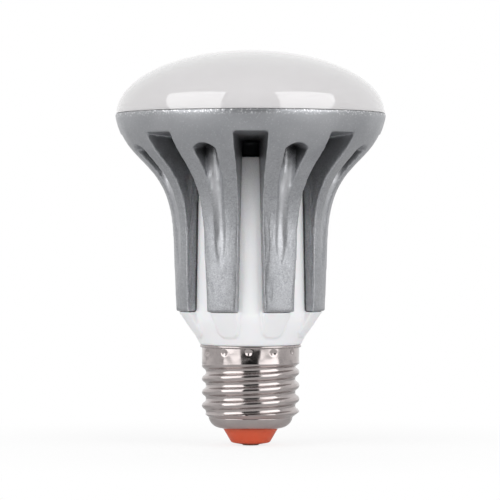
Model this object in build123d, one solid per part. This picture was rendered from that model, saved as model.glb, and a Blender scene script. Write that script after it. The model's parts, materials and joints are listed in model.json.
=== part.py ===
from build123d import *
import os
from math import asin, atan, cos, pi, radians, sin, sqrt

# Sizes in millimetres. Height 0 is the tip of the centre contact, the lamp's axis is Z
# and the middle of one slot between the ribs faces -Y.

# Fits
fit_gap = 0.1
wire_gap = 0.05
overrun = 1.0  # how far a cutter reaches past the face it cuts

# Screw cap, E27
collar_radius = 13.16
crest_drop = 0.04  # thread crests below the collar
thread_depth = 1.06
thread_pitch = 3.62
thread_crest_half = 0.4
thread_foot_half = 1.35
thread_step = 0.05  # foot of the ridge above the plain core
thread_clock = 50.0  # where the thread starts around the axis
cap_wall = 0.4
mouth_radius = 7.5
mouth_ring = 1.4
bowl_step = 0.76  # bowl's upper edge inside the thread's root
bowl_height = 3.1
bowl_bulge = 0.3
thread_rise = 1.15  # height over which the first turn comes up out of the bowl
thread_length = 14.6
collar_length = 4.2
lip_height = 0.8
lip_flare = 0.54
dimple_count = 12
dimple_clock = -2.4
dimple_drop = 1.1  # below the top of the collar
dimple_radius = 0.9
dimple_depth = 0.25

# Insulator and centre contact
contact_proud = 0.2
contact_head_radius = 2.2
contact_head_height = 0.9
contact_round = 0.15
shank_radius = 1.3
shank_proud = 1.5  # above the insulator
insulator_height = 4.3
insulator_lip = 3.0  # around the contact's head
insulator_crown = 0.55  # lower face's fall from its edge to the contact
insulator_round = 0.4
flange_height = 1.2

# Housing
spigot_length = 8.0
spigot_wall = 1.8
cone_inset = 0.1  # cone's base inside the cap's lip
cone_rise = 7.3
cone_round = 8.0  # where the cone runs into the barrel
foot_step = 1.8  # ribs' feet above the cone
housing_radius = 17.4
housing_draft = 0.3
housing_wall = 1.7
housing_length = 41.2
pad_inset = 0.56  # pad's upper edge inside the rib's foot
pad_lift = 0.05
pad_start = 2.2  # above the cone's base
pad_low_half = 2.75
pad_margin = 0.35
pad_round = 2.2
lid_thickness = 1.6
lid_ledge = 0.8
rail_length = 3.0
rail_thickness = 1.2

# Heat sink
rib_count = 8
rib_depth = 3.0  # at the foot
foot_round = 0.45
waist_gain = 0.69  # waist's radius over the foot's
waist_height = 19.9
waist_lean = 2.0
waist_handle = 21.6
rim_radius = 36.5
rim_land = 0.85
rim_lean = 10.65
rim_handle = 14.5
rim_wall = 1.0
vent_height = 4.1
plate_thickness = 3.9
rim_height = 4.05
hub_clearance = 0.7  # around the screw posts
hub_wall = 2.3
slot_foot_half = 3.24
slot_head_half = 2.07
slot_flare = 0.15  # half-width gained per millimetre outwards
ceiling_slope = 0.105
pocket_tip = 11.1  # above the foot
pocket_roof = 0.8  # crown below the plate
pocket_lean = 0.033
pocket_bend = 21.7  # above the foot, where the floor starts to follow the bell
pocket_shelf = 38.7  # above the foot, where it stands upright again
pocket_outset = 3.4  # of the upright floor
pocket_round = 2.2
pocket_flare = 0.18
pocket_arch = 4.2

# Diffuser
rim_step = 0.2  # dome's edge inside the rim
dome_height = 17.15
dome_wall = 1.8
quarter_pull = 0.5523  # makes a quarter ellipse of one curve
skirt_wall = 1.4
skirt_depth = 3.0

# LED board
board_margin = 2.4
led_board_thickness = 1.6
led_length = 3.5
led_width = 2.8
led_height = 0.8
outer_led_count = 12
outer_led_circle = 24.6
inner_led_count = 6
inner_led_circle = 15.8
screw_count = 3
screw_circle = 8.5
screw_radius = 1.5
screw_head_radius = 2.6
screw_head_height = 1.7
screw_grip = 4.0  # in its post
post_radius = 2.3
wire_hole_radius = 3.0

# Driver
driver_thickness = 1.2
driver_offset = 3.0  # board's middle plane behind the axis
driver_edge_gap = 1.6
driver_headroom = 4.5
tail_half = 6.3
tail_length = 12.0
part_gap = 0.8  # between components
core_side = 11.0
core_depth = 5.8
core_leg = 3.0
core_yoke = 1.8
winding_depth = 9.4
winding_round = 1.5
input_can_radius = 4.5
input_can_length = 13.0
output_can_radius = 3.5
output_can_length = 12.0
bead_height = 1.6
bead_width = 1.0
bead_depth = 0.45
choke_radius = 3.5
choke_height = 8.0
choke_rim = 1.2
choke_waist = 0.8
film_width = 9.5
film_depth = 4.4
film_height = 8.0
film_round = 0.55
rectifier_width = 5.0
rectifier_depth = 2.4
rectifier_height = 4.0
chip_width = 4.9
chip_depth = 1.5
chip_height = 3.9
fuse_radius = 1.5
fuse_length = 8.0
wire_radius = 0.55
wire_bend = 1.6
wire_spread = 2.9
solder_length = 5.0

# Heights
z_mouth = contact_proud + insulator_height
z_shank = z_mouth + cap_wall + flange_height + shank_proud
z_bowl = z_mouth + bowl_height
z_collar = z_bowl + thread_length
z_lip = z_collar + collar_length
z_cap = z_lip + lip_height
z_cone_top = z_cap + cone_rise
z_foot = z_cone_top + foot_step
z_waist = z_foot + waist_height
z_lid = z_foot + housing_length
z_plate = z_lid + vent_height
z_seat = z_plate + plate_thickness
z_led = z_seat + led_board_thickness
z_rim = z_seat + rim_height

# Radii that follow from their neighbours
crest_radius = collar_radius - crest_drop
root_radius = crest_radius - thread_depth
bowl_radius = root_radius - bowl_step
lip_radius = collar_radius + lip_flare
shell_bore = root_radius - cap_wall
collar_bore = collar_radius - cap_wall
spigot_radius = shell_bore - fit_gap
spigot_bore = spigot_radius - spigot_wall
flange_radius = mouth_radius + mouth_ring - 2 * fit_gap
insulator_tip_radius = contact_head_radius + insulator_lip
cone_base_radius = lip_radius - cone_inset
housing_bore = housing_radius - housing_wall
housing_top_radius = housing_radius - housing_draft
lid_seat_radius = housing_bore + lid_ledge
rib_bore = housing_radius + fit_gap
foot_radius = housing_radius + rib_depth
waist_radius = foot_radius + waist_gain
pad_top_radius = foot_radius - pad_inset
hub_bore = screw_circle + post_radius + hub_clearance
hub_radius = hub_bore + hub_wall
rim_bore = rim_radius - rim_wall
dome_radius = rim_radius - rim_step
skirt_radius = rim_bore - fit_gap
skirt_bore = skirt_radius - skirt_wall
led_board_radius = skirt_bore - board_margin
screw_hole_radius = screw_radius + wire_gap

# Driver board's place: its front face looks to -Y
front_face = driver_offset - driver_thickness / 2
back_face = driver_offset + driver_thickness / 2
driver_half = sqrt(housing_bore**2 - back_face**2) - driver_edge_gap
z_driver = z_foot + fit_gap
z_driver_top = z_lid - lid_thickness - driver_headroom
driver_length = z_driver_top - z_driver
z_tail = z_driver - tail_length
wire_y = back_face + wire_radius
component_edge = driver_half - rail_length / 2 - part_gap
z_component_low = z_driver + part_gap
z_component_top = z_driver_top - part_gap

# Transformer's place: its centre
core_x = core_side / 2 - component_edge
core_y = front_face - winding_depth / 2
z_core = z_component_top - core_side / 2
core_window = core_side - 2 * core_yoke


def closed(*points):
    return Polyline(*points, close=True)


def turned(*outline):
    return revolve(make_face([Plane.XZ * edge for edge in outline]), Axis.Z)


def disc(radius, low, high):
    return Pos(0, 0, low) * Cylinder(radius, high - low, align=(Align.CENTER, Align.CENTER, Align.MIN))


def block(size, centre, low):
    # size is width, depth and height; centre is x and y
    return Pos(centre[0], centre[1], low) * Box(*size, align=(Align.CENTER, Align.CENTER, Align.MIN))


def around(piece, count, start=0.0):
    return [Rot(0, 0, start + 360 / count * step) * piece for step in range(count)]


def tube(radius, bend, *points):
    path = FilletPolyline(*points, radius=bend)
    section = Plane(origin=path @ 0, z_dir=path % 0) * Circle(radius)
    return sweep(section, path=path)


def wire_hole(low, high):
    return Pos(0, wire_y, 0) * disc(wire_hole_radius, low, high)


def screw_spots(piece):
    return around(Pos(0, -screw_circle, 0) * piece, screw_count)


# Screw shell: round thread, plain collar with crimp dimples and a flared lip
def thread_ridge():
    start = z_bowl - thread_pitch / 2
    length = z_collar + overrun - start
    helix = Helix(pitch=thread_pitch, height=length, radius=root_radius, center=(0, 0, start))
    plane = Plane(origin=(0, 0, start), x_dir=(1, 0, 0), z_dir=helix % 0)
    base_radius = root_radius - cap_wall / 2
    foot = root_radius + thread_step
    section = make_face(closed(
        (base_radius, -thread_foot_half),
        (foot, -thread_foot_half),
        (crest_radius, -thread_crest_half),
        (crest_radius, thread_crest_half),
        (foot, thread_foot_half),
        (base_radius, thread_foot_half),
    ))
    return Rot(0, 0, thread_clock) * sweep(plane * section, path=helix, is_frenet=True)


def screw_shell():
    beyond = collar_radius + overrun
    z_shoulder = z_collar - thread_depth
    z_trim = z_collar + overrun
    mouth_edge = (mouth_radius + mouth_ring, z_mouth)
    bowl_edge = (bowl_radius, z_bowl)
    thread_edge = (beyond, z_bowl + thread_rise)
    envelope = turned(
        Line((0, z_mouth), mouth_edge),
        SagittaArc(mouth_edge, bowl_edge, -bowl_bulge),
        Polyline(bowl_edge, thread_edge, (beyond, z_trim), (0, z_trim), (0, z_mouth)),
    )
    collar = turned(closed(
        (0, z_shoulder),
        (root_radius - thread_step, z_shoulder),
        (collar_radius, z_collar),
        (collar_radius, z_lip),
        (lip_radius, z_cap - cap_wall),
        (lip_radius, z_cap),
        (0, z_cap),
    ))
    ball_circle = collar_radius + dimple_radius - dimple_depth
    ball = Pos(0, -ball_circle, z_lip - dimple_drop) * Sphere(dimple_radius)
    collar = collar - around(ball, dimple_count, dimple_clock)
    cavity = turned(closed(
        (0, z_mouth + cap_wall),
        (mouth_radius + mouth_ring, z_mouth + cap_wall),
        (bowl_radius - cap_wall, z_bowl + cap_wall),
        (shell_bore, z_bowl + thread_rise),
        (shell_bore, z_shoulder),
        (collar_bore, z_collar + cap_wall),
        (collar_bore, z_cap + overrun),
        (0, z_cap + overrun),
    ))
    rod = thread_ridge() + disc(root_radius, z_mouth - overrun, z_lip)
    return (rod & envelope) + collar - cavity - disc(mouth_radius, z_mouth - overrun, z_bowl)


def insulator():
    seat = z_mouth + cap_wall
    neck_radius = mouth_radius - fit_gap
    body = turned(closed(
        (0, contact_proud),
        (contact_head_radius, contact_proud),
        (insulator_tip_radius, contact_proud + insulator_crown),
        (neck_radius, z_mouth),
        (neck_radius, seat),
        (flange_radius, seat),
        (flange_radius, seat + flange_height),
        (0, seat + flange_height),
    ))
    rings = body.edges().filter_by(GeomType.CIRCLE).group_by(Axis.Z)
    body = fillet(rings[1], insulator_round)
    recess = disc(contact_head_radius + fit_gap, 0, contact_head_height)
    return body - recess - disc(shank_radius + fit_gap, 0, z_shank)


def centre_contact():
    head = disc(contact_head_radius, 0, contact_head_height)
    head = fillet(head.edges().group_by(Axis.Z)[0], contact_round)
    return head + disc(shank_radius, 0, z_shank)


# Housing: neck inside the cap, cone with a raised pad under each rib, barrel, board rails
def pad_radius(height):
    base_radius = cone_base_radius + pad_lift
    return base_radius + (pad_top_radius - base_radius) * (height - z_cap) / (z_foot - z_cap)


def slot_half(radius, height):
    taper = (slot_foot_half - slot_head_half) / (z_plate - z_foot)
    return slot_foot_half + slot_flare * (radius - housing_radius) - taper * (height - z_foot)


def housing_pads():
    low = z_cap + pad_start
    inside = housing_wall / 2
    low_cone_radius = cone_base_radius + (housing_radius - cone_base_radius) * pad_start / cone_rise
    band = turned(closed(
        (low_cone_radius - inside, low),
        (pad_radius(low), low),
        (pad_top_radius, z_foot),
        (housing_radius - inside, z_foot),
    ))
    slot_angle = asin(slot_half(foot_radius, z_foot) / foot_radius)
    top_half = foot_radius * sin(pi / rib_count - slot_angle) - pad_margin
    face = make_face(closed(
        (-pad_low_half, low),
        (pad_low_half, low),
        (top_half, z_foot),
        (-top_half, z_foot),
    ))
    face = fillet(face.vertices().group_by(Axis.Y)[0], pad_round)
    pad = extrude(Plane.YZ * face, foot_radius + overrun) & band
    return around(pad, rib_count, 180 / rib_count)


def board_rails():
    outer = disc(housing_bore + housing_wall / 2, z_foot - rail_thickness, z_driver_top)
    gap = driver_thickness / 2 + wire_gap
    reach = 2 * housing_radius
    bar_size = (reach, 2 * (gap + rail_thickness), z_driver_top - z_foot + rail_thickness)
    groove_size = (reach, 2 * gap, driver_length + overrun)
    rails = []
    for side in (-1, 1):
        bar_x = side * (driver_half - rail_length / 2 + housing_radius)
        groove_x = side * (driver_half + fit_gap - housing_radius)
        bar = block(bar_size, (bar_x, driver_offset), z_foot - rail_thickness)
        groove = block(groove_size, (groove_x, driver_offset), z_foot)
        rails.append((bar - groove) & outer)
    return rails


def housing():
    z_shoulder = z_collar - thread_depth + 2 * cap_wall
    neck_radius = collar_bore - fit_gap
    bore_rise = housing_wall * (housing_bore - spigot_bore) / cone_rise
    body = turned(closed(
        (spigot_bore, z_collar - spigot_length),
        (spigot_radius, z_collar - spigot_length),
        (spigot_radius, z_shoulder),
        (neck_radius, z_collar + 2 * cap_wall),
        (neck_radius, z_cap),
        (cone_base_radius, z_cap),
        (housing_radius, z_cone_top),
        (housing_top_radius, z_lid),
        (lid_seat_radius, z_lid),
        (lid_seat_radius, z_lid - lid_thickness),
        (housing_bore, z_lid - lid_thickness),
        (housing_bore, z_cone_top + bore_rise),
        (spigot_bore, z_cap + bore_rise),
    ))
    waist_edge = body.edges().filter_by_position(Axis.Z, z_cone_top, z_cone_top)
    return fillet(waist_edge, cone_round) + housing_pads() + board_rails()


def housing_lid():
    plate = disc(lid_seat_radius - fit_gap, z_lid - lid_thickness, z_lid)
    posts = screw_spots(disc(post_radius, z_lid - lid_thickness, z_plate))
    bores = screw_spots(disc(screw_hole_radius, z_lid - lid_thickness - overrun, z_plate + overrun))
    return plate + posts - bores - wire_hole(z_lid - lid_thickness - overrun, z_plate)


# Heat sink: turned bell with slots between the ribs and a scooped pocket in each rib
def slot_cutter():
    inner = (hub_radius + rib_bore) / 2
    outer = rim_radius + overrun
    low = z_foot - overrun

    def ceiling(radius):
        return z_plate + ceiling_slope * (radius - hub_radius)

    def section(inner_height, outer_height):
        inner_half = slot_half(inner, inner_height)
        outer_half = slot_half(outer, outer_height)
        return make_face(closed(
            (inner, -inner_half, inner_height),
            (outer, -outer_half, outer_height),
            (outer, outer_half, outer_height),
            (inner, inner_half, inner_height),
        ))

    return loft([section(low, low), section(ceiling(inner), ceiling(outer))], ruled=True)


def pocket_cutter():
    z_tip = z_foot + pocket_tip
    z_crown = z_plate - pocket_roof
    tip_radius = foot_radius + (waist_radius - foot_radius) * pocket_tip / waist_height
    flare = atan(pocket_flare)
    reach = rim_radius + overrun
    touch_x = pocket_round * (1 - sin(flare))
    touch_y = pocket_round * cos(flare)
    outer_half = touch_y + (reach - touch_x) * pocket_flare
    section = make_face(closed(
        (touch_x, -touch_y),
        (reach, -outer_half),
        (reach, outer_half),
        (touch_x, touch_y),
    ))
    section = section + Pos(pocket_round, 0) * Circle(pocket_round)

    def floor(height):
        return tip_radius - pocket_lean * (height - z_tip)

    low = z_tip - 2 * pocket_round
    bend = z_foot + pocket_bend
    shelf = z_foot + pocket_shelf
    high = z_crown + overrun
    upright = floor(bend) + pocket_outset
    groove = loft([
        Pos(floor(low), 0, low) * section,
        Pos(tip_radius, 0, z_tip) * section,
        Pos(floor(bend), 0, bend) * section,
        Pos(upright, 0, shelf) * section,
        Pos(upright, 0, high) * section,
    ])
    z_arch = z_crown - pocket_arch
    roof = Pos(0, 0, z_arch) * Rot(0, 90, 0) * Cylinder(pocket_arch, 2 * reach)
    below = block((2 * reach, 2 * pocket_arch, z_arch - low + overrun), (0, 0), low - overrun)
    return groove & (roof + below)


def heat_sink():
    waist = (waist_radius, z_waist)
    rim_edge = (rim_radius, z_rim - rim_land)
    waist_angle = radians(waist_lean)
    rim_angle = radians(rim_lean)
    waist_pull = (waist[0] + waist_handle * sin(waist_angle), waist[1] + waist_handle * cos(waist_angle))
    rim_pull = (rim_edge[0] - rim_handle * sin(rim_angle), rim_edge[1] - rim_handle * cos(rim_angle))
    foot_arc = JernArc((foot_radius - foot_round, z_foot), (1, 0), foot_round, 90)
    body = turned(
        Line((rib_bore, z_foot), foot_arc @ 0),
        foot_arc,
        Line(foot_arc @ 1, waist),
        Bezier(waist, waist_pull, rim_pull, rim_edge),
        Polyline(
            rim_edge,
            (rim_radius, z_rim),
            (rim_bore, z_rim),
            (rim_bore, z_seat),
            (0, z_seat),
            (0, z_plate),
            (hub_bore, z_plate),
            (hub_bore, z_lid),
            (hub_radius, z_lid),
            (hub_radius, z_plate),
            (rib_bore, z_plate),
            (rib_bore, z_foot),
        ),
    )
    slots = around(slot_cutter(), rib_count)
    pockets = around(pocket_cutter(), rib_count, 180 / rib_count)
    holes = screw_spots(disc(screw_hole_radius, z_plate - overrun, z_seat + overrun))
    return body - slots - pockets - holes - wire_hole(z_plate - overrun, z_seat + overrun)


# Diffuser: half an ellipsoid that stands on the rim, with a skirt inside it
def half_ellipsoid(radius, height):
    edge = (radius, z_rim)
    apex = (0, z_rim + height)
    edge_pull = (radius, z_rim + height * quarter_pull)
    apex_pull = (radius * quarter_pull, z_rim + height)
    return turned(Bezier(edge, edge_pull, apex_pull, apex), Polyline(apex, (0, z_rim), edge))


def diffuser():
    low = z_rim - skirt_depth
    dome = half_ellipsoid(dome_radius, dome_height) + disc(skirt_radius, low, z_rim)
    return dome - half_ellipsoid(skirt_bore, dome_height - dome_wall) - disc(skirt_bore, low, z_rim)


# LED board
def led_board():
    plate = disc(led_board_radius, z_seat, z_led)
    holes = screw_spots(disc(screw_hole_radius, z_seat - overrun, z_led + overrun))
    return plate - holes - wire_hole(z_seat - overrun, z_led + overrun)


def led_chips():
    body = block((led_length, led_width, led_height), (0, 0), z_led)
    outer = Pos(outer_led_circle, 0, 0) * body
    inner = Pos(inner_led_circle, 0, 0) * body
    return Compound(around(outer, outer_led_count) + around(inner, inner_led_count))


def board_screws():
    screw = turned(closed(
        (0, z_plate - screw_grip),
        (screw_radius, z_plate - screw_grip),
        (screw_radius, z_led),
        (screw_head_radius, z_led),
        (screw_head_radius, z_led + screw_head_height / 2),
        (screw_radius, z_led + screw_head_height),
        (0, z_led + screw_head_height),
    ))
    return Compound(screw_spots(screw))


# Driver board and what stands on it
def driver_board():
    main = block((2 * driver_half, driver_thickness, driver_length), (0, driver_offset), z_driver)
    tail = block((2 * tail_half, driver_thickness, tail_length), (0, driver_offset), z_tail)
    return main + tail


def transformer_core():
    centre = Pos(core_x, core_y, z_core)
    frame = centre * Box(core_side, core_depth, core_side)
    opening = centre * Box(core_window, 2 * core_depth, core_window)
    leg = centre * Box(core_side, core_depth, core_leg)
    return frame - opening + leg


def transformer_winding():
    centre = Pos(core_x, core_y, z_core)
    side = core_window - 2 * fit_gap
    body = centre * Box(side, winding_depth, side)
    body = fillet(body.edges().filter_by(Axis.X), winding_round)
    return body - centre * Box(core_side, core_depth + 2 * fit_gap, core_leg + 2 * fit_gap)


def capacitor_can(radius, length):
    # upright, with a groove rolled in near its foot
    return turned(closed(
        (0, 0),
        (radius, 0),
        (radius, bead_height),
        (radius - bead_depth, bead_height + bead_width / 2),
        (radius, bead_height + bead_width),
        (radius, length),
        (0, length),
    ))


def input_capacitor():
    x = input_can_radius - component_edge
    can = capacitor_can(input_can_radius, input_can_length)
    return Pos(x, front_face - input_can_radius, z_component_low) * can


def output_capacitor():
    x = component_edge - output_can_radius
    can = capacitor_can(output_can_radius, output_can_length)
    return Pos(x, front_face - output_can_radius, z_component_top - output_can_length) * can


def filter_choke():
    core_radius = choke_radius - choke_waist
    drum = turned(closed(
        (0, 0),
        (choke_radius, 0),
        (choke_radius, choke_rim),
        (core_radius, choke_rim),
        (core_radius, choke_height - choke_rim),
        (choke_radius, choke_height - choke_rim),
        (choke_radius, choke_height),
        (0, choke_height),
    ))
    centre = Pos(component_edge - choke_radius, front_face, z_component_low + choke_radius)
    return centre * Rot(90, 0, 0) * drum


def film_capacitor():
    size = (film_width, film_depth, film_height)
    body = block(size, (0, front_face - film_depth / 2), z_tail + wire_bend + part_gap)
    return fillet(body.edges().filter_by(Axis.Z), film_round)


def bridge_rectifier():
    size = (rectifier_width, rectifier_depth, rectifier_height)
    centre = (rectifier_width / 2 - tail_half, back_face + rectifier_depth / 2)
    return block(size, centre, z_component_low)


def driver_chip():
    centre = (tail_half - chip_width / 2, back_face + chip_depth / 2)
    return block((chip_width, chip_depth, chip_height), centre, z_component_low)


def fuse_resistor():
    low = z_tail + part_gap
    return Pos(0, back_face + fuse_radius, 0) * disc(fuse_radius, low, low + fuse_length)


# Wires, each soldered flat to a board face at its start
def led_wire(side):
    x = side * wire_hole_radius / 2
    z_flat = z_led + wire_radius + wire_gap
    start = (x, wire_y, z_driver_top - solder_length)
    end = (x, wire_y - 2 * wire_hole_radius, z_flat)
    return tube(wire_radius, wire_hole_radius, start, (x, wire_y, z_flat), end)


def live_wire():
    solder = front_face - wire_radius
    return tube(
        wire_radius,
        wire_bend,
        (-wire_spread, solder, z_tail + wire_bend),
        (-wire_spread, solder, z_tail - 2 * wire_bend),
        (0, 0, z_shank + 2 * wire_bend),
        (0, 0, z_shank),
    )


def neutral_wire():
    solder = front_face - wire_radius
    z_end = z_collar - spigot_length - 2 * wire_bend
    return tube(
        wire_radius,
        wire_bend,
        (wire_spread, solder, z_tail + wire_bend),
        (wire_spread, solder, z_tail - 2 * wire_bend),
        (spigot_bore - wire_bend, solder, z_end),
        (sqrt((shell_bore - wire_gap)**2 - (abs(solder) + wire_radius)**2), solder, z_end),
    )


pieces = {
    "diffuser": diffuser(),
    "heat_sink": heat_sink(),
    "led_board": led_board(),
    "led_chips": led_chips(),
    "board_screws": board_screws(),
    "housing": housing(),
    "housing_lid": housing_lid(),
    "driver_board": driver_board(),
    "transformer_core": transformer_core(),
    "transformer_winding": transformer_winding(),
    "input_capacitor": input_capacitor(),
    "output_capacitor": output_capacitor(),
    "film_capacitor": film_capacitor(),
    "filter_choke": filter_choke(),
    "bridge_rectifier": bridge_rectifier(),
    "driver_chip": driver_chip(),
    "fuse_resistor": fuse_resistor(),
    "led_wire_positive": led_wire(-1),
    "led_wire_negative": led_wire(1),
    "live_wire": live_wire(),
    "neutral_wire": neutral_wire(),
    "screw_shell": screw_shell(),
    "insulator": insulator(),
    "centre_contact": centre_contact(),
}

os.makedirs("parts", exist_ok=True)
for name, piece in pieces.items():
    export_step(piece, f"parts/{name}.step")
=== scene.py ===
import json
import math

import bpy
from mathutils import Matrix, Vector


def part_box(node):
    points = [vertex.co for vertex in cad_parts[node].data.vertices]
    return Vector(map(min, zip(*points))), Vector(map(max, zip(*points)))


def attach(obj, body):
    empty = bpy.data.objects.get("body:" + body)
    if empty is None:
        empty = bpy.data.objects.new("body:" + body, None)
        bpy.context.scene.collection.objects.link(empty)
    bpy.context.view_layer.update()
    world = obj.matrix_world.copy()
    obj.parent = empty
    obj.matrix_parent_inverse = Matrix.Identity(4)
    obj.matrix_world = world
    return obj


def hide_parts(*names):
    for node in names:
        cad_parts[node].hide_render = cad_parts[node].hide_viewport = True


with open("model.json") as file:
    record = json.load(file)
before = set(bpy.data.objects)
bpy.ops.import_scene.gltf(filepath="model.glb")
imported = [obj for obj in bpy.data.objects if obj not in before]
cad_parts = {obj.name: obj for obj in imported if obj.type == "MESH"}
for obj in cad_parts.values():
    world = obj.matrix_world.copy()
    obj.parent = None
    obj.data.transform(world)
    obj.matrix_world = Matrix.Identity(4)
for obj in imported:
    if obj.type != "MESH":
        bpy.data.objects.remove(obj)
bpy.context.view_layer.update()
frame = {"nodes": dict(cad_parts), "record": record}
nodes = frame["nodes"]
mm = 0.001
print("frame loaded:", len(nodes), "CAD nodes")


def hexColour(code):
    channels = [int(code[i:i + 2], 16) / 255 for i in (0, 2, 4)]
    linear = [c / 12.92 if c <= 0.04045 else ((c + 0.055) / 1.055) ** 2.4 for c in channels]
    return (*linear, 1.0)


def cellsOf(size):
    return 1 / (size * mm)  # texture scale whose features are about this many millimetres wide


def addNode(tree, kind, links=None, **settings):
    node = tree.nodes.new(kind)
    for name, value in settings.items():
        setattr(node, name, value)
    for socket, value in (links or {}).items():
        if isinstance(value, bpy.types.NodeSocket):
            tree.links.new(value, node.inputs[socket])
        else:
            node.inputs[socket].default_value = value
    return node


def newMaterial(name, **sockets):
    material = bpy.data.materials.new(name)
    material.use_nodes = True
    tree = material.node_tree
    shader = tree.nodes["Principled BSDF"]
    for socket, value in sockets.items():
        shader.inputs[socket.replace("_", " ")].default_value = value
    place = addNode(tree, "ShaderNodeTexCoord").outputs["Object"]
    return material, tree, shader, place


# millimetres, as in the finishes that follow
lacquer = {
    "flake": 0.3,  # coarser than real flakes, which wouldn't show
    "grain": 0.55, "grainHeight": 0.06, "wave": 3.2, "waveHeight": 0.4, "cloud": 9, "chip": 1.6, "speck": 0.5,
    "recess": 7, "edge": 0.45,  # how far to look for a hollow, for the painted shade, and for an edge, for the wear and painted highlight
    "smooth": 84, "smoothFade": 14, "rim": 89, "rimFade": 1.2,  # heights
    "shadedCore": 16, "shadedCoreFade": 1.5,  # distance from the axis inside which the shade is painted, and its fade
}


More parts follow.
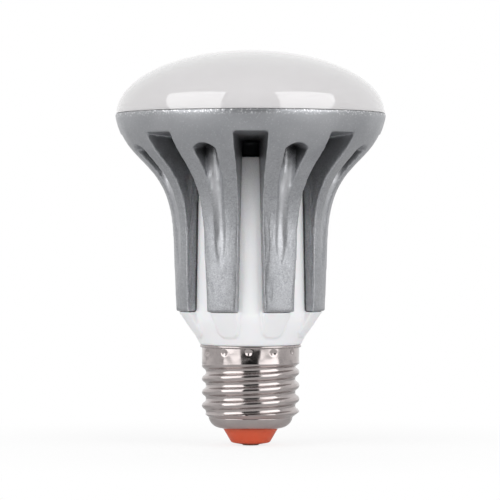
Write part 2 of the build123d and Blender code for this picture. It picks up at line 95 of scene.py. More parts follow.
def silverPaint():
    # silver metallic lacquer sprayed on die-cast aluminium: satin grey, fine flake sparkle, a wavy cast skin,
    # painted shade in the recesses and near the axis inside, painted highlights on the pockets' floors, and pale wear
    # along the edges and the rim that is also a painted highlight
    material, tree, shader, place = newMaterial("SilverMetallicLacquer", Metallic=0.92)
    cloud = addNode(tree, "ShaderNodeTexNoise", {
        "Vector": place, "Scale": cellsOf(lacquer["cloud"]), "Detail": 3.0,
    })
    tone = addNode(tree, "ShaderNodeMix", {
        "Factor": cloud.outputs["Fac"], "A": hexColour("96989c"), "B": hexColour("b2b3b6"),
    }, data_type="RGBA")
    grain = addNode(tree, "ShaderNodeTexNoise", {
        "Vector": place, "Scale": cellsOf(lacquer["grain"]), "Detail": 2.0, "Distortion": 1.6,
    })
    mottle = addNode(tree, "ShaderNodeMapRange", {
        "Value": grain.outputs["Fac"], "From Min": 0.3, "From Max": 0.7, "To Min": 0.8, "To Max": 1.18,
    })
    height = addNode(tree, "ShaderNodeSeparateXYZ", {"Vector": place})
    along = addNode(tree, "ShaderNodeMapRange", {
        "Value": height.outputs["Z"], "From Min": lacquer["smooth"] * mm,
        "From Max": (lacquer["smooth"] - lacquer["smoothFade"]) * mm, "To Min": 0.15,
    }, interpolation_type="SMOOTHSTEP")  # the metal filled the long ribs last and set rough there, the bell is smooth
    even = addNode(tree, "ShaderNodeMix", {
        "Factor": along.outputs["Result"], "A": 1.0, "B": mottle.outputs["Result"],
    })
    speckled = addNode(tree, "ShaderNodeVectorMath", {
        0: tone.outputs["Result"], "Scale": even.outputs["Result"],
    }, operation="SCALE")
    flakes = addNode(tree, "ShaderNodeTexVoronoi", {"Vector": place, "Scale": cellsOf(lacquer["flake"])})
    level = addNode(tree, "ShaderNodeSeparateColor", {"Color": flakes.outputs["Color"]})
    sparkle = addNode(tree, "ShaderNodeMapRange", {
        "Value": level.outputs["Red"], "From Min": 0.9, "From Max": 1.0, "To Max": 0.16,
    })
    glitter = addNode(tree, "ShaderNodeMix", {
        "Factor": sparkle.outputs["Result"], "A": speckled.outputs["Vector"], "B": hexColour("ececef"),
    }, data_type="RGBA")
    pocket = addNode(tree, "ShaderNodeAttribute", attribute_name="pocketFloor")
    bright = addNode(tree, "ShaderNodeMath", {0: pocket.outputs["Fac"], 1: 0.7}, operation="MULTIPLY")
    pocketHighlight = addNode(tree, "ShaderNodeMix", {
        "Factor": bright.outputs["Value"], "A": glitter.outputs["Result"], "B": hexColour("d3d4d7"),
    }, data_type="RGBA")  # painted highlight: the pockets' floors are lightened as if they caught the lamps
    hollow = addNode(tree, "ShaderNodeAmbientOcclusion", {"Distance": lacquer["recess"] * mm}, samples=8)
    around = addNode(tree, "ShaderNodeMapping", {"Vector": place, "Scale": (1.0, 1.0, 0.0)})
    reach = addNode(tree, "ShaderNodeVectorMath", {0: around.outputs["Vector"]}, operation="LENGTH")
    outsideShadedCore = addNode(tree, "ShaderNodeMapRange", {
        "Value": reach.outputs["Value"], "From Min": lacquer["shadedCore"] * mm,
        "From Max": (lacquer["shadedCore"] + lacquer["shadedCoreFade"]) * mm,
    })
    aoShadeShare = addNode(tree, "ShaderNodeMapRange", {
        "Value": hollow.outputs["AO"], "From Min": 0.25, "From Max": 0.64, "To Min": 0.05,
    })
    paintedShadeFactor = addNode(tree, "ShaderNodeMath", {
        0: aoShadeShare.outputs["Result"], 1: outsideShadedCore.outputs["Result"],
    }, operation="MULTIPLY")
    shadedCoat = addNode(tree, "ShaderNodeMix", {
        "Factor": paintedShadeFactor.outputs["Value"], "A": hexColour("242426"), "B": pocketHighlight.outputs["Result"],
    }, data_type="RGBA")  # painted shade: darker in the recesses by ambient occlusion, and darkest inside near the axis
    # pale wear along the edges that is also a painted highlight on the rounded edges
    edge = addNode(tree, "ShaderNodeAmbientOcclusion", {
        "Distance": lacquer["edge"] * mm,
    }, samples=12, inside=True)  # an edge is found by how soon a ray inside the wall comes out again
    edgeWearHighlightMask = addNode(tree, "ShaderNodeMapRange", {
        "Value": edge.outputs["AO"], "From Min": 0.92, "From Max": 0.58,
    })
    chips = addNode(tree, "ShaderNodeTexNoise", {
        "Vector": place, "Scale": cellsOf(lacquer["chip"]), "Detail": 2.0,
    })
    patchy = addNode(tree, "ShaderNodeMapRange", {
        "Value": chips.outputs["Fac"], "From Min": 0.3, "From Max": 0.65, "To Min": 0.2, "To Max": 0.9,
    })
    edgeWearAndHighlight = addNode(tree, "ShaderNodeMath", {
        0: edgeWearHighlightMask.outputs["Result"], 1: patchy.outputs["Result"],
    }, operation="MULTIPLY")
    # pale specks just under the rim: wear, and also a painted highlight of the lamps
    atRim = addNode(tree, "ShaderNodeMapRange", {
        "Value": height.outputs["Z"], "From Min": (lacquer["rim"] - lacquer["rimFade"]) * mm,
        "From Max": lacquer["rim"] * mm,
    })
    specks = addNode(tree, "ShaderNodeTexNoise", {
        "Vector": place, "Scale": cellsOf(lacquer["speck"]), "Detail": 1.0,
    })
    rimWearHighlightSpecks = addNode(tree, "ShaderNodeMapRange", {
        "Value": specks.outputs["Fac"], "From Min": 0.56, "From Max": 0.66,
    })
    wearAndPaintedHighlight = addNode(tree, "ShaderNodeMath", {
        0: rimWearHighlightSpecks.outputs["Result"], 1: atRim.outputs["Result"], 2: edgeWearAndHighlight.outputs["Value"],
    }, operation="MULTIPLY_ADD", use_clamp=True)
    body = addNode(tree, "ShaderNodeMix", {
        "Factor": wearAndPaintedHighlight.outputs["Value"], "A": shadedCoat.outputs["Result"], "B": hexColour("eeeeef"),
    }, data_type="RGBA")
    tree.links.new(body.outputs["Result"], shader.inputs["Base Color"])
    gloss = addNode(tree, "ShaderNodeMapRange", {
        "Value": level.outputs["Green"], "To Min": 0.3, "To Max": 0.48,
    })
    tree.links.new(gloss.outputs["Result"], shader.inputs["Roughness"])
    upright = addNode(tree, "ShaderNodeMapping", {"Vector": place, "Scale": (1.0, 1.0, 0.3)})
    wave = addNode(tree, "ShaderNodeTexNoise", {
        "Vector": upright.outputs["Vector"], "Scale": cellsOf(lacquer["wave"]), "Detail": 2.0, "Distortion": 0.8,
    })
    ripple = addNode(tree, "ShaderNodeMath", {
        0: wave.outputs["Fac"], 1: along.outputs["Result"],
    }, operation="MULTIPLY")
    swell = addNode(tree, "ShaderNodeBump", {
        "Height": ripple.outputs["Value"], "Strength": 0.6, "Distance": lacquer["waveHeight"] * mm,
    })
    cast = addNode(tree, "ShaderNodeBump", {
        "Height": grain.outputs["Fac"], "Strength": 0.35, "Distance": lacquer["grainHeight"] * mm,
        "Normal": swell.outputs["Normal"],
    })
    tree.links.new(cast.outputs["Normal"], shader.inputs["Normal"])
    return material


opal = {"soak": 4, "cloud": 14, "skin": 0.8, "skinHeight": 0.01}


def opalPolycarbonate():
    # opal polycarbonate, injection moulded: milky, even, glossy enough to mirror the lamps
    material, tree, shader, place = newMaterial(
        "OpalPolycarbonate", IOR=1.58, Roughness=0.03, Subsurface_Weight=0.35, Subsurface_Scale=opal["soak"] * mm,
        Coat_Weight=1.0,
    )
    shader.inputs["Subsurface Radius"].default_value = (1.0, 0.97, 0.94)
    cloud = addNode(tree, "ShaderNodeTexNoise", {"Vector": place, "Scale": cellsOf(opal["cloud"]), "Detail": 2.0})
    milk = addNode(tree, "ShaderNodeMix", {
        "Factor": cloud.outputs["Fac"], "A": hexColour("cac8c9"), "B": hexColour("cfcdce"),
    }, data_type="RGBA")
    tree.links.new(milk.outputs["Result"], shader.inputs["Base Color"])
    skin = addNode(tree, "ShaderNodeTexNoise", {"Vector": place, "Scale": cellsOf(opal["skin"]), "Detail": 1.0})
    bump = addNode(tree, "ShaderNodeBump", {
        "Height": skin.outputs["Fac"], "Strength": 0.05, "Distance": opal["skinHeight"] * mm,
    })
    tree.links.new(bump.outputs["Normal"], shader.inputs["Normal"])
    return material


moulding = {"soak": 1.5, "cloud": 9, "slot": 12, "peel": 0.9, "peelHeight": 0.02}


def whitePbt():
    # white PBT, injection moulded: bright, slightly cool, half gloss with a faint orange peel
    material, tree, shader, place = newMaterial(
        "WhitePbt", IOR=1.54, Roughness=0.36, Subsurface_Weight=0.12, Subsurface_Scale=moulding["soak"] * mm,
    )
    cloud = addNode(tree, "ShaderNodeTexNoise", {
        "Vector": place, "Scale": cellsOf(moulding["cloud"]), "Detail": 2.0,
    })
    tint = addNode(tree, "ShaderNodeMix", {
        "Factor": cloud.outputs["Fac"], "A": hexColour("f1f1f4"), "B": hexColour("f6f6f7"),
    }, data_type="RGBA")
    hollow = addNode(tree, "ShaderNodeAmbientOcclusion", {"Distance": moulding["slot"] * mm}, samples=8)
    slotShade = addNode(tree, "ShaderNodeMapRange", {
        "Value": hollow.outputs["AO"], "From Min": 0.12, "From Max": 0.48, "To Min": 0.22,
    })
    slotShadedTint = addNode(tree, "ShaderNodeVectorMath", {
        0: tint.outputs["Result"], "Scale": slotShade.outputs["Result"],
    }, operation="SCALE")  # painted shade: grey deep in the slots, by ambient occlusion
    tree.links.new(slotShadedTint.outputs["Vector"], shader.inputs["Base Color"])
    peel = addNode(tree, "ShaderNodeTexNoise", {"Vector": place, "Scale": cellsOf(moulding["peel"]), "Detail": 1.0})
    bump = addNode(tree, "ShaderNodeBump", {
        "Height": peel.outputs["Fac"], "Strength": 0.12, "Distance": moulding["peelHeight"] * mm,
    })
    tree.links.new(bump.outputs["Normal"], shader.inputs["Normal"])
    return material


plating = {
    "smudge": 3, "dent": 5, "dentHeight": 0.3,
    "line": 0.35, "lineHeight": 0.02,  # coarser than real rolling lines, which wouldn't show
    "stretch": 0.04,  # how much the lines are drawn out around the axis
}


def nickelPlate():
    # bright nickel on drawn sheet: it mirrors the room, a little warm, with rolling lines around the axis,
    # shallow dents that bend the reflections, and smudges
    material, tree, shader, place = newMaterial("BrightNickelPlate", Metallic=1.0)
    smudge = addNode(tree, "ShaderNodeTexNoise", {
        "Vector": place, "Scale": cellsOf(plating["smudge"]), "Detail": 4.0,
    })
    tone = addNode(tree, "ShaderNodeMix", {
        "Factor": smudge.outputs["Fac"], "A": hexColour("b1a9a8"), "B": hexColour("c3bbb9"),
    }, data_type="RGBA")
    tree.links.new(tone.outputs["Result"], shader.inputs["Base Color"])
    gloss = addNode(tree, "ShaderNodeMapRange", {
        "Value": smudge.outputs["Fac"], "From Min": 0.3, "From Max": 0.7, "To Min": 0.08, "To Max": 0.22,
    })
    tree.links.new(gloss.outputs["Result"], shader.inputs["Roughness"])
    around = addNode(tree, "ShaderNodeMapping", {
        "Vector": place, "Scale": (plating["stretch"], plating["stretch"], 1.0),
    })
    lines = addNode(tree, "ShaderNodeTexNoise", {
        "Vector": around.outputs["Vector"], "Scale": cellsOf(plating["line"]), "Detail": 2.0,
    })
    dents = addNode(tree, "ShaderNodeTexNoise", {"Vector": place, "Scale": cellsOf(plating["dent"]), "Detail": 1.0})
    uneven = addNode(tree, "ShaderNodeBump", {
        "Height": dents.outputs["Fac"], "Strength": 1.0, "Distance": plating["dentHeight"] * mm,
    })
    bump = addNode(tree, "ShaderNodeBump", {
        "Height": lines.outputs["Fac"], "Strength": 0.12, "Distance": plating["lineHeight"] * mm,
        "Normal": uneven.outputs["Normal"],
    })
    tree.links.new(bump.outputs["Normal"], shader.inputs["Normal"])
    return material


tipPlastic = {"soak": 1.0, "cloud": 4, "peel": 0.5, "peelHeight": 0.02}


def orangeInsulator():
    # orange-red PBT, injection moulded: even colour, half gloss, soft edge where light soaks in
    material, tree, shader, place = newMaterial(
        "OrangePbt", IOR=1.54, Roughness=0.42, Subsurface_Weight=0.15, Subsurface_Scale=tipPlastic["soak"] * mm,
    )
    cloud = addNode(tree, "ShaderNodeTexNoise", {
        "Vector": place, "Scale": cellsOf(tipPlastic["cloud"]), "Detail": 2.0,
    })
    tint = addNode(tree, "ShaderNodeMix", {
        "Factor": cloud.outputs["Fac"], "A": hexColour("d25533"), "B": hexColour("dd5e39"),
    }, data_type="RGBA")
    tree.links.new(tint.outputs["Result"], shader.inputs["Base Color"])
    peel = addNode(tree, "ShaderNodeTexNoise", {
        "Vector": place, "Scale": cellsOf(tipPlastic["peel"]), "Detail": 1.0,
    })
    bump = addNode(tree, "ShaderNodeBump", {
        "Height": peel.outputs["Fac"], "Strength": 0.15, "Distance": tipPlastic["peelHeight"] * mm,
    })
    tree.links.new(bump.outputs["Normal"], shader.inputs["Normal"])
    return material


insideSkin = {"glossSpread": 0.08, "grainHeight": 0.03}
insideFinishes = {
    "contact_metal": {"name": "TinnedBrass", "dark": "a8957e", "light": "c9b8a2", "metallic": 1.0,
                      "roughness": 0.35, "mottle": 1.5, "grain": 0.4},
    "board_aluminium": {"name": "WhiteSolderMask", "dark": "e6e6e3", "light": "f0f0ee",
                        "roughness": 0.4, "mottle": 4, "grain": 0.4},
    "led_phosphor": {"name": "LedPhosphor", "dark": "e0b53c", "light": "ecc95a",
                     "roughness": 0.5, "mottle": 0.6, "grain": 0.2},
    "zinc_steel": {"name": "ZincPlatedSteel", "dark": "a9adb3", "light": "c3c6ca", "metallic": 1.0,
                   "roughness": 0.3, "mottle": 1.2, "grain": 0.3},
    "circuit_board": {"name": "GreenSolderMask", "dark": "2c5e38", "light": "3a7346",
                      "roughness": 0.35, "mottle": 2, "grain": 0.5},
    "ferrite": {"name": "SinteredFerrite", "dark": "26262a", "light": "35353a",
                "roughness": 0.6, "mottle": 0.8, "grain": 0.25},
    "winding_tape": {"name": "PolyesterTape", "dark": "d2a424", "light": "dfb53c",
                     "roughness": 0.28, "mottle": 3, "grain": 0.8},
    "capacitor_sleeve": {"name": "ShrinkSleeve", "dark": "1c2236", "light": "262d44",
                         "roughness": 0.3, "mottle": 3, "grain": 0.6},
    "film_case": {"name": "DippedEpoxy", "dark": "8e2a1c", "light": "a43626",
                  "roughness": 0.3, "mottle": 2, "grain": 0.7},
    "black_epoxy": {"name": "MouldedEpoxy", "dark": "1d1d1f", "light": "29292b",
                    "roughness": 0.65, "mottle": 1, "grain": 0.2},
    "fuse_ceramic": {"name": "CementCoat", "dark": "7e9a88", "light": "93ad9b",
                     "roughness": 0.6, "mottle": 0.8, "grain": 0.25},
    "red_wire": {"name": "RedPvc", "dark": "a81c16", "light": "bd261f",
                 "roughness": 0.4, "mottle": 2, "grain": 0.4},
    "black_wire": {"name": "BlackPvc", "dark": "18181a", "light": "232325",
                   "roughness": 0.4, "mottle": 2, "grain": 0.4},
    "brown_wire": {"name": "BrownPvc", "dark": "553018", "light": "643a20",
                   "roughness": 0.4, "mottle": 2, "grain": 0.4},
    "blue_wire": {"name": "BluePvc", "dark": "1c3f8c", "light": "264b9c",
                  "roughness": 0.4, "mottle": 2, "grain": 0.4},
}


def plainFinish(spec):
    # the contact and the parts inside the housing: a mottled colour, a broken gloss and a fine surface grain
    material, tree, shader, place = newMaterial(spec["name"], Metallic=spec.get("metallic", 0.0))
    cloud = addNode(tree, "ShaderNodeTexNoise", {
        "Vector": place, "Scale": cellsOf(spec["mottle"]), "Detail": 3.0,
    })
    tint = addNode(tree, "ShaderNodeMix", {
        "Factor": cloud.outputs["Fac"], "A": hexColour(spec["dark"]), "B": hexColour(spec["light"]),
    }, data_type="RGBA")
    tree.links.new(tint.outputs["Result"], shader.inputs["Base Color"])
    gloss = addNode(tree, "ShaderNodeMapRange", {
        "Value": cloud.outputs["Fac"], "To Min": spec["roughness"] - insideSkin["glossSpread"],
        "To Max": spec["roughness"] + insideSkin["glossSpread"],
    })
    tree.links.new(gloss.outputs["Result"], shader.inputs["Roughness"])
    grain = addNode(tree, "ShaderNodeTexNoise", {"Vector": place, "Scale": cellsOf(spec["grain"]), "Detail": 2.0})
    bump = addNode(tree, "ShaderNodeBump", {
        "Height": grain.outputs["Fac"], "Strength": 0.3, "Distance": insideSkin["grainHeight"] * mm,
    })
    tree.links.new(bump.outputs["Normal"], shader.inputs["Normal"])
    return material


finishes = {
    "silver_paint": silverPaint(),
    "opal_polycarbonate": opalPolycarbonate(),
    "white_pbt": whitePbt(),
    "nickel_plate": nickelPlate(),
    "orange_insulator": orangeInsulator(),
}
for slotName, spec in insideFinishes.items():
    finishes[slotName] = plainFinish(spec)
for part in frame["record"]["subparts"]:
    surface = nodes[part["node"]].data
    surface.materials.clear()
    surface.materials.append(finishes[part["material_slot"]])
print("materials made:", len(finishes))


def onlySelect(piece):
    if bpy.context.object and bpy.context.object.mode == "EDIT":
        bpy.ops.object.mode_set(mode="OBJECT")
    bpy.ops.object.select_all(action="DESELECT")
    piece.select_set(True)
    bpy.context.view_layer.objects.active = piece


def applyModifier(piece, kind, **settings):
    modifier = piece.modifiers.new(kind.title(), kind)
    for name, value in settings.items():
        setattr(modifier, name, value)
    onlySelect(piece)
    bpy.ops.object.modifier_apply(modifier=modifier.name)


def shadeByAngle(piece, angle):
    onlySelect(piece)
    bpy.ops.object.shade_smooth_by_angle(angle=math.radians(angle))


def seat(piece, node, slotName):
    piece.data.materials.clear()
    piece.data.materials.append(finishes[slotName])
    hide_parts(node)
    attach(piece, "root")
    piece.data.calc_loop_triangles()
    print(piece.name, "made:", len(piece.data.loop_triangles), "triangles")


weldGap = 0.001  # millimetres


def spun(name, outline, steps):
    # outline is radius and height in millimetres, drawn point by point and spun about the axis
    bpy.ops.object.select_all(action="DESELECT")
    bpy.ops.mesh.primitive_plane_add(size=1 * mm)
    piece = bpy.context.object
    piece.name = name
    bpy.ops.object.mode_set(mode="EDIT")
    bpy.ops.mesh.select_all(action="SELECT")
    bpy.ops.mesh.merge(type="CENTER")
    bpy.ops.transform.translate(value=(outline[0][0] * mm, 0, outline[0][1] * mm))
    for start, end in zip(outline, outline[1:]):
        step = ((end[0] - start[0]) * mm, 0, (end[1] - start[1]) * mm)
        bpy.ops.mesh.extrude_region_move(TRANSFORM_OT_translate={"value": step})
    bpy.ops.mesh.select_all(action="SELECT")
    bpy.ops.mesh.spin(steps=steps, angle=2 * math.pi, center=(0, 0, 0), axis=(0, 0, 1))
    bpy.ops.mesh.select_all(action="SELECT")
    bpy.ops.mesh.remove_doubles(threshold=weldGap * mm)
    bpy.ops.mesh.normals_make_consistent(inside=False)
    bpy.ops.object.mode_set(mode="OBJECT")
    return piece


def arc(centre, radius, start, end, count):
    # points on an arc, angles in degrees from the radius direction
    angles = [math.radians(start + (end - start) * i / count) for i in range(count + 1)]
    return [(centre[0] + radius * math.cos(a), centre[1] + radius * math.sin(a)) for a in angles]


def run(start, end, count):
    # evenly spaced points from start towards end, end left out
    return [(start[0] + (end[0] - start[0]) * i / count, start[1] + (end[1] - start[1]) * i / count)
            for i in range(count)]


def sizeOf(node):
    low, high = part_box(node)
    return high.x / mm, low.z / mm, high.z / mm  # radius, bottom and top in millimetres


softEdge = {
    "merge": 0.002, "voxel": 0.32,  # millimetres
    "smoothing": 0.5, "passes": 5, "settling": 0.25, "settlingPasses": 2,
}


def softEdged(node, name, triangles, added=()):
    # a copy of the solid with the soft edges that a casting or moulding has
    piece = bpy.data.objects.new(name, nodes[node].data.copy())
    bpy.context.scene.collection.objects.link(piece)
    onlySelect(piece)
    if added:
        for more in added:
            more.select_set(True)
        bpy.ops.object.join()
    bpy.ops.object.mode_set(mode="EDIT")
    bpy.ops.mesh.select_all(action="SELECT")
    bpy.ops.mesh.remove_doubles(threshold=softEdge["merge"] * mm)
    bpy.ops.object.mode_set(mode="OBJECT")
    applyModifier(piece, "REMESH", mode="VOXEL", voxel_size=softEdge["voxel"] * mm)
    applyModifier(piece, "SMOOTH", factor=softEdge["smoothing"], iterations=softEdge["passes"])
    piece.data.calc_loop_triangles()
    ratio = triangles / len(piece.data.loop_triangles)
    if ratio < 1:
        applyModifier(piece, "DECIMATE", ratio=ratio)
        applyModifier(piece, "SMOOTH", factor=softEdge["settling"], iterations=softEdge["settlingPasses"])
    onlySelect(piece)
    bpy.ops.object.shade_smooth()
    return piece


heatSinkShape = {
    "triangles": 190000, "rimWall": 1.0,
    "rootRound": 1.0, "rootArc": 6, "rootSteps": 160,
    "rootBite": 0.05, "rootSink": 0.1,  # how far the fill goes into the rim and the floor
}


def rimRoot():
    # the inside corner at the foot of the rim, filled with a round as in a casting
    fillet = heatSinkShape["rootRound"]
    bore = sizeOf("heat_sink")[0] - heatSinkShape["rimWall"]
    floor = sizeOf("led_board")[1]
    outer = bore + heatSinkShape["rootBite"]
    under = floor - heatSinkShape["rootSink"]
    hollow = arc((bore - fillet, floor + fillet), fillet, -90, 0, heatSinkShape["rootArc"])
    return [(outer, under), (bore - fillet, under), *hollow, (outer, floor + fillet), (outer, under)]


# millimetres, apart from the counts, facing and fading
pocketShape = {
    "ribs": 8, "level": 0.2,
    "half": 4.3, "low": 44, "high": 80, "facing": 0.2,  # where a pocket is looked for
    "shallow": 0.3, "deep": 1.1, "waveSize": 5, "waveDepth": 0.6,
    "endHalf": 3.7, "endCore": 2.4, "endDepth": 2,
    "fadeTop": 68, "fadeFoot": 57, "fading": 0.5, "fadingPasses": 10,
    "lift": 1.5, "liftTop": 78, "liftFoot": 62,
    "floorFoot": 0.2, "floorCurve": 0.0022,  # depth of the floor at the foot, and how it grows with height
}


def ribFace(piece):
    # radius of the ribs' turned face at each level
    face = {}
    for vertex in piece.data.vertices:
        level = round(vertex.co.z / mm / pocketShape["level"])
        face[level] = max(face.get(level, 0), vertex.co.xy.length / mm)
    return face


def share(value, start, end):
    return max(0.0, min(1.0, (value - start) / (end - start)))


def markPockets(piece):
    # groups of the pockets' vertices, and how deep each vertex of the casting lies in one, from 0 to 1
    shape = pocketShape
    face = ribFace(piece)
    pitch = 2 * math.pi / shape["ribs"]
    lower = piece.vertex_groups.new(name="pocketEnd")
    whole = piece.vertex_groups.new(name="pocket")
    raised = piece.vertex_groups.new(name="pocketFloor")
    depths = []
    for vertex in piece.data.vertices:
        x, y, z = vertex.co / mm
        radius = math.hypot(x, y)
        turn = (math.atan2(y, x) + math.pi / 2) % pitch - pitch / 2  # from the middle of the rib
        aside = abs(radius * math.sin(turn))
        facing = vertex.normal.xy.dot(vertex.co.xy) / (radius * mm)
        depth = 0.0
        if shape["low"] < z < shape["high"] and aside < shape["half"]:
            sunk = face[round(z / shape["level"])] - radius
            if facing > shape["facing"]:
                depth = share(sunk, shape["shallow"], shape["deep"])
                whole.add([vertex.index], depth, "REPLACE")
            if sunk < shape["endDepth"] and facing > -shape["facing"]:
                middle = share(aside, shape["endHalf"], shape["endCore"])
                fade = share(z, shape["fadeTop"], shape["fadeFoot"])
                lower.add([vertex.index], fade * middle, "REPLACE")
                floor = shape["floorFoot"] + shape["floorCurve"] * (z - shape["low"]) ** 2
                lift = share(sunk, floor, floor + shape["lift"]) * share(z, shape["liftTop"], shape["liftFoot"])
                raised.add([vertex.index], lift * middle, "REPLACE")
        depths.append(depth)
    return depths


def ripplePockets(piece):
    # the pockets flatten and fade out at their lower ends, and their floors are wavy
    depths = markPockets(piece)
    applyModifier(piece, "DISPLACE", strength=pocketShape["lift"] * mm, mid_level=0, vertex_group="pocketFloor")
    applyModifier(piece, "SMOOTH", factor=pocketShape["fading"], iterations=pocketShape["fadingPasses"],
                  vertex_group="pocketEnd")
    clouds = bpy.data.textures.new("castWaves", "CLOUDS")
    clouds.noise_scale = pocketShape["waveSize"] * mm
    applyModifier(piece, "DISPLACE", texture=clouds, texture_coords="LOCAL",
                  strength=pocketShape["waveDepth"] * mm, vertex_group="pocket")
    piece.vertex_groups.clear()
    layer = piece.data.attributes.new("pocketFloor", "FLOAT", "POINT")  # the lacquer reads this for its painted highlight on the pockets' floors
    layer.data.foreach_set("value", depths)


rimFill = spun("rimRoot", rimRoot(), heatSinkShape["rootSteps"])
heatSink = softEdged("heat_sink", "heatSinkCasting", heatSinkShape["triangles"], [rimFill])
ripplePockets(heatSink)
seat(heatSink, "heat_sink", "silver_paint")

housingShape = {"triangles": 90000}
housing = softEdged("housing", "driverHousing", housingShape["triangles"])
seat(housing, "housing", "white_pbt")

# millimetres and degrees, as in the shapes that follow
domeShape = {
    "wall": 1.8, "skirtWall": 1.4, "skirtDepth": 3.0, "skirtGap": 0.9,
    "tuck": 0.001,  # keeps the top under the solid's
    "arcSteps": 40, "steps": 160, "crease": 35,
}


def domeOutline():
    radius, bottom, top = sizeOf("diffuser")
    rim = bottom + domeShape["skirtDepth"]
    height = top - rim
    skirt = radius - domeShape["skirtGap"]
    bore = skirt - domeShape["skirtWall"]
    innerHeight = height - domeShape["wall"]
    count = domeShape["arcSteps"]
    angles = [math.radians(90 * i / count) for i in range(count + 1)]
    outside = [(radius * math.cos(a), rim + height * math.sin(a)) for a in angles]
    inside = [(bore * math.cos(a), rim + innerHeight * math.sin(a)) for a in reversed(angles)]
    outside[-1] = (0, top - domeShape["tuck"])
    inside[0] = (0, rim + innerHeight)
    return [(skirt, rim)] + outside + inside + [(bore, bottom), (skirt, bottom), (skirt, rim)]


dome = spun("opalDome", domeOutline(), domeShape["steps"])
shadeByAngle(dome, domeShape["crease"])
seat(dome, "diffuser", "opal_polycarbonate")

shellShape = {
    "collar": 13.16, "wall": 0.4, "pitch": 3.62, "crestRound": 1.025,
    "clock": 8.9,  # height of a crest at angle 0
    "mouth": 7.5, "bowl": 11.3, "bowlHeight": 3.1,
    "bowlCentre": 8.0, "bowlLift": 0.5, "bowlRound": 3.4, "bowlStart": -78, "bowlEnd": -12, "bowlSteps": 10,
    "bowlSlope": 1.35, "bowlBlend": 0.3,  # how the thread rises out of the bowl
    "threadEnd": 22.2, "threadSteps": 84, "collarSteps": 26,
    "neckSlope": 1.3, "neckDrop": 0.1, "neckBlend": 0.15, "neckReach": 0.6,  # how the thread runs into the collar
    "lipFoot": 26.4, "lip": 13.7, "bead": 0.37, "beadStart": -80, "beadEnd": 90, "beadSteps": 10,
    "bore": 11.66, "boreTop": 1, "boreFoot": 1.2, "boreNeck": 0.4,
    "bowlBore": 10.9, "bowlBoreLift": 0.4, "ring": 8.9,
    "dimples": 12, "dimpleClock": -2.4, "dimpleHeight": 25.3, "dimpleRadius": 0.95, "dimpleDepth": 0.42,
    "dimpleEase": 1.5,
    "skin": 0.05, "lipGap": 0.01,  # what counts as the outside of the collar
    "steps": 300, "crease": 40,
}
shellBottom, shellTop = sizeOf("screw_shell")[1:]
bowlTop = shellBottom + shellShape["bowlHeight"]


def shellOutline():
    cap = shellShape
    seatHeight = shellBottom + cap["wall"]
    inner = cap["collar"] - cap["wall"]
    outline = [(cap["mouth"], seatHeight), (cap["mouth"], shellBottom)]
    outline += arc((cap["bowlCentre"], bowlTop + cap["bowlLift"]), cap["bowlRound"],
                   cap["bowlStart"], cap["bowlEnd"], cap["bowlSteps"])
    outline += run((cap["collar"], bowlTop), (cap["collar"], cap["threadEnd"]), cap["threadSteps"])
    outline += run((cap["collar"], cap["threadEnd"]), (cap["collar"], cap["lipFoot"]), cap["collarSteps"])
    outline += [(cap["collar"], cap["lipFoot"])]
    outline += arc((cap["lip"] - cap["bead"], shellTop - cap["bead"]), cap["bead"],
                   cap["beadStart"], cap["beadEnd"], cap["beadSteps"])
    outline += [(inner, shellTop), (inner, cap["threadEnd"] + cap["boreNeck"])]
    outline += [(cap["bore"], cap["threadEnd"] - cap["boreTop"]), (cap["bore"], bowlTop + cap["boreFoot"])]
    outline += [(cap["bowlBore"], bowlTop + cap["bowlBoreLift"]), (cap["ring"], seatHeight)]
    return outline + [(cap["mouth"], seatHeight)]


def smoothMin(first, second, width):
    blend = max(0.0, min(1.0, 0.5 + 0.5 * (second - first) / width))
    return second + (first - second) * blend - width * blend * (1 - blend)


def threadRadius(height, angle):
    cap = shellShape
    depth = 2 * cap["crestRound"] * (1 - math.cos(math.asin(cap["pitch"] / 4 / cap["crestRound"])))
    phase = (height - cap["clock"]) / cap["pitch"] - angle / (2 * math.pi)
    offset = abs(phase - round(phase)) * cap["pitch"]  # along the axis from the nearest crest
    if offset < cap["pitch"] / 4:
        rolled = cap["collar"] - cap["crestRound"] + math.sqrt(cap["crestRound"] ** 2 - offset ** 2)
    else:
        rest = cap["pitch"] / 2 - offset
        rolled = cap["collar"] - depth + cap["crestRound"] - math.sqrt(cap["crestRound"] ** 2 - rest ** 2)
    comingUp = cap["bowl"] + cap["bowlSlope"] * (height - bowlTop)
    shaped = smoothMin(rolled, comingUp, cap["bowlBlend"])
    neck = cap["collar"] + cap["neckSlope"] * (height - cap["threadEnd"] + cap["neckDrop"])
    return -smoothMin(-shaped, -min(neck, cap["collar"]), cap["neckBlend"])


def shapeShell(piece):
    # rolls the thread and presses the dimples into the plain spun tube
    cap = shellShape
    for vertex in piece.data.vertices:
        x, y, z = vertex.co / mm
        radius = math.hypot(x, y)
        angle = math.atan2(y, x)
        if radius < cap["collar"] - cap["skin"] or z > cap["lipFoot"] + cap["lipGap"]:
            continue
        if z < cap["threadEnd"] + cap["neckReach"]:
            radius = min(threadRadius(z, angle), cap["collar"])
        for dimple in range(cap["dimples"]):
            middle = math.radians(cap["dimpleClock"] - 90 + 360 / cap["dimples"] * dimple)
            turn = (angle - middle + math.pi) % (2 * math.pi) - math.pi
            reach = math.hypot(turn * cap["collar"], z - cap["dimpleHeight"]) / cap["dimpleRadius"]
            if reach < 1:
                radius -= cap["dimpleDepth"] * (1 - reach ** 2) ** cap["dimpleEase"]
        vertex.co = Vector((radius * math.cos(angle), radius * math.sin(angle), z)) * mm


shell = spun("screwShell", shellOutline(), shellShape["steps"])
shapeShell(shell)
shadeByAngle(shell, shellShape["crease"])
seat(shell, "screw_shell", "nickel_plate")

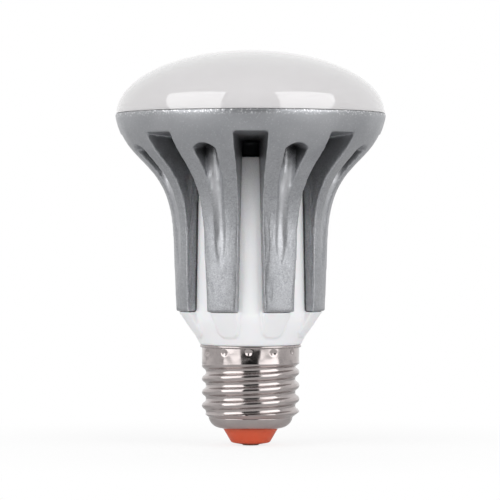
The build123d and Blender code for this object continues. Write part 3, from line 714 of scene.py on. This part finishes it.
tipShape = {
    "proud": 0.2, "edge": 5.2, "crown": 0.55, "round": 0.4, "roundSteps": 5, "neck": 7.4,
    "flange": 8.7, "flangeHeight": 1.2, "mouthStep": 0.02,
    "head": 2.2, "headHeight": 0.9, "headRound": 0.15, "headSteps": 5, "shank": 1.3, "gap": 0.1,
    "steps": 120, "crease": 40,
}


def insulatorOutline():
    tip = tipShape
    seatHeight = shellBottom + shellShape["wall"]
    flangeTop = seatHeight + tip["flangeHeight"]
    hole = tip["shank"] + tip["gap"]
    recess = tip["head"] + tip["gap"]
    edge = (tip["edge"], tip["proud"] + tip["crown"])
    fall = Vector((recess - edge[0], tip["proud"] - edge[1])).normalized()
    rise = Vector((tip["neck"] - edge[0], shellBottom - edge[1])).normalized()
    shares = [i / tip["roundSteps"] for i in range(tip["roundSteps"] + 1)]
    corner = [Vector(edge) + (fall * (1 - part) ** 2 + rise * part ** 2) * tip["round"] for part in shares]
    return [
        (hole, tip["headHeight"]),
        (recess, tip["headHeight"]),
        (recess, tip["proud"] + tip["mouthStep"]),
        *[tuple(point) for point in corner],
        (tip["neck"], shellBottom),
        (tip["neck"], seatHeight),
        (tip["flange"], seatHeight),
        (tip["flange"], flangeTop),
        (hole, flangeTop),
        (hole, tip["headHeight"]),
    ]


def contactOutline():
    tip = tipShape
    top = sizeOf("centre_contact")[2]
    rounded = arc((tip["head"] - tip["headRound"], tip["headRound"]), tip["headRound"], -90, 0, tip["headSteps"])
    shank = [(tip["head"], tip["headHeight"]), (tip["shank"], tip["headHeight"]), (tip["shank"], top), (0, top)]
    return [(0, 0)] + rounded + shank


insulator = spun("insulatorCone", insulatorOutline(), tipShape["steps"])
shadeByAngle(insulator, tipShape["crease"])
seat(insulator, "insulator", "orange_insulator")

contact = spun("contactRivet", contactOutline(), tipShape["steps"])
shadeByAngle(contact, tipShape["crease"])
seat(contact, "centre_contact", "contact_metal")

studio = {
    "distance": 0.78, "height": 57.8, "aim": 52.7, "aside": -0.16,  # distance in metres, the others in millimetres
    "focal": 2886, "frame": 500,  # pixels
    "boxDistance": 1.5, "boxAzimuth": 53, "boxElevation": 25, "boxLean": 16.4, "boxLevel": 2.0,
    "boxWidth": 0.88, "boxHeight": 1.767, "boxAside": 0.1, "boxDrop": 0.293,  # times boxDistance
    "fill": 0.3, "frontFill": 0.95, "backFill": 0.85,
    "roomEnds": ((0.0, 0.02), (1.0, 1.0)), "roomBetween": ((0.06, 0.04), (0.3, 0.42), (0.6, 0.78), (0.9, 0.94)),
    "floorRadius": 0.42, "floorSides": 96, "shadowNear": 0.02, "shadowFar": 0.12, "shadowWhite": 0.8,
}


def placeCamera():
    data = bpy.data.cameras.new("Camera")
    data.lens = data.sensor_width * studio["focal"] / studio["frame"]
    camera = bpy.data.objects.new("Camera", data)
    bpy.context.scene.collection.objects.link(camera)
    camera.location = (studio["aside"] * mm, -studio["distance"], studio["height"] * mm)
    aim = Vector((studio["aside"] * mm, 0, studio["aim"] * mm))
    camera.rotation_euler = (aim - camera.location).to_track_quat("-Z", "Y").to_euler()
    bpy.context.scene.camera = camera


def hangSoftboxes():
    azimuth = math.radians(studio["boxAzimuth"])
    elevation = math.radians(studio["boxElevation"])
    for side in (-1, 1):
        away = Vector((side * math.sin(azimuth) * math.cos(elevation),
                       -math.cos(azimuth) * math.cos(elevation), math.sin(elevation)))
        data = bpy.data.lights.new("Softbox", "AREA")
        data.shape = "RECTANGLE"
        data.size = studio["boxWidth"] * studio["boxDistance"]
        data.size_y = studio["boxHeight"] * studio["boxDistance"]
        data.energy = studio["boxLevel"] * math.pi * data.size * data.size_y
        lamp = bpy.data.objects.new("Softbox", data)
        bpy.context.scene.collection.objects.link(lamp)
        facing = away.to_track_quat("Z", "Y")
        middle = away - facing @ Vector((side * studio["boxAside"], studio["boxDrop"], 0))
        lamp.location = middle * studio["boxDistance"] + Vector((0, 0, studio["aim"] * mm))
        lamp.rotation_euler = facing.to_euler()
        lamp.rotation_euler.rotate_axis("Z", math.radians(-side * studio["boxLean"]))
        lamp.visible_camera = False


def paintWorld():
    world = bpy.data.worlds.new("StudioRoom")
    bpy.context.scene.world = world
    world.use_nodes = True
    tree = world.node_tree
    tree.nodes.clear()
    path = addNode(tree, "ShaderNodeLightPath")
    toward = addNode(tree, "ShaderNodeSeparateXYZ", {
        "Vector": addNode(tree, "ShaderNodeTexCoord").outputs["Generated"],
    })
    depth = addNode(tree, "ShaderNodeMapRange", {"Value": toward.outputs["Y"], "From Min": -1.0, "From Max": 1.0})
    room = addNode(tree, "ShaderNodeFloatCurve", {"Value": depth.outputs["Result"]})
    shade = room.mapping.curves[0].points  # the room behind the camera is dark, the backdrop is white
    for point, spot in zip(shade, studio["roomEnds"]):
        point.location = spot
    for spot in studio["roomBetween"]:
        shade.new(*spot)
    room.mapping.update()
    soft = addNode(tree, "ShaderNodeMapRange", {
        "Value": toward.outputs["Y"], "From Min": -1.0, "From Max": -0.6,
        "To Min": studio["frontFill"], "To Max": studio["fill"],
    })
    behind = addNode(tree, "ShaderNodeMapRange", {
        "Value": toward.outputs["Y"], "From Min": 0.3, "From Max": 0.9, "To Max": studio["backFill"],
    })
    level = addNode(tree, "ShaderNodeMath", {
        0: soft.outputs["Result"], 1: behind.outputs["Result"],
    }, operation="ADD")
    fill = addNode(tree, "ShaderNodeBackground", {
        "Color": hexColour("ffffff"), "Strength": level.outputs["Value"],
    })
    mirrored = addNode(tree, "ShaderNodeBackground", {
        "Color": hexColour("ffffff"), "Strength": room.outputs["Value"],
    })
    white = addNode(tree, "ShaderNodeBackground", {"Color": hexColour("ffffff"), "Strength": 1.0})
    glossy = addNode(tree, "ShaderNodeMath", {
        0: path.outputs["Is Glossy Ray"], 1: path.outputs["Is Transmission Ray"],
    }, operation="ADD", use_clamp=True)
    inside = addNode(tree, "ShaderNodeMixShader", {
        0: glossy.outputs["Value"], 1: fill.outputs["Background"], 2: mirrored.outputs["Background"],
    })
    outside = addNode(tree, "ShaderNodeMixShader", {
        0: path.outputs["Is Camera Ray"], 1: inside.outputs["Shader"], 2: white.outputs["Background"],
    })
    addNode(tree, "ShaderNodeOutputWorld", {"Surface": outside.outputs["Shader"]})


def layFloor():
    bpy.ops.object.select_all(action="DESELECT")
    bpy.ops.mesh.primitive_circle_add(
        vertices=studio["floorSides"], radius=studio["floorRadius"], fill_type="NGON")
    floor = bpy.context.object
    floor.name = "studioFloor"
    material = bpy.data.materials.new("PaleTable")
    material.use_nodes = True
    tree = material.node_tree
    tree.nodes.clear()
    path = addNode(tree, "ShaderNodeLightPath")
    place = addNode(tree, "ShaderNodeTexCoord").outputs["Object"]
    reach = addNode(tree, "ShaderNodeVectorMath", {0: place}, operation="LENGTH")
    shown = addNode(tree, "ShaderNodeMix", {
        "Factor": path.outputs["Is Camera Ray"], "A": hexColour("e0e0e0"), "B": hexColour("ffffff"),
    }, data_type="RGBA")
    paper = addNode(tree, "ShaderNodeBsdfDiffuse", {"Color": shown.outputs["Result"]})
    white = addNode(tree, "ShaderNodeEmission", {"Strength": 1.0})
    fade = addNode(tree, "ShaderNodeMapRange", {
        "Value": reach.outputs["Value"], "From Min": studio["shadowNear"], "From Max": studio["shadowFar"],
        "To Min": studio["shadowWhite"], "To Max": 1.0,
    }, interpolation_type="SMOOTHSTEP")  # the shadow shows near the part and the table turns white away from it
    seen = addNode(tree, "ShaderNodeMath", {
        0: path.outputs["Is Camera Ray"], 1: fade.outputs["Result"],
    }, operation="MULTIPLY")
    table = addNode(tree, "ShaderNodeMixShader", {
        0: seen.outputs["Value"], 1: paper.outputs["BSDF"], 2: white.outputs["Emission"],
    })
    below = addNode(tree, "ShaderNodeMath", {
        0: path.outputs["Is Camera Ray"], 1: addNode(tree, "ShaderNodeNewGeometry").outputs["Backfacing"],
    }, operation="MULTIPLY")
    clear = addNode(tree, "ShaderNodeBsdfTransparent")
    oneWay = addNode(tree, "ShaderNodeMixShader", {
        0: below.outputs["Value"], 1: table.outputs["Shader"], 2: clear.outputs["BSDF"],
    })  # a camera under the floor sees the part through it
    addNode(tree, "ShaderNodeOutputMaterial", {"Surface": oneWay.outputs["Shader"]})
    floor.data.materials.append(material)


placeCamera()
hangSoftboxes()
paintWorld()
layFloor()
bpy.context.scene.view_settings.view_transform = "Standard"
print("studio set")
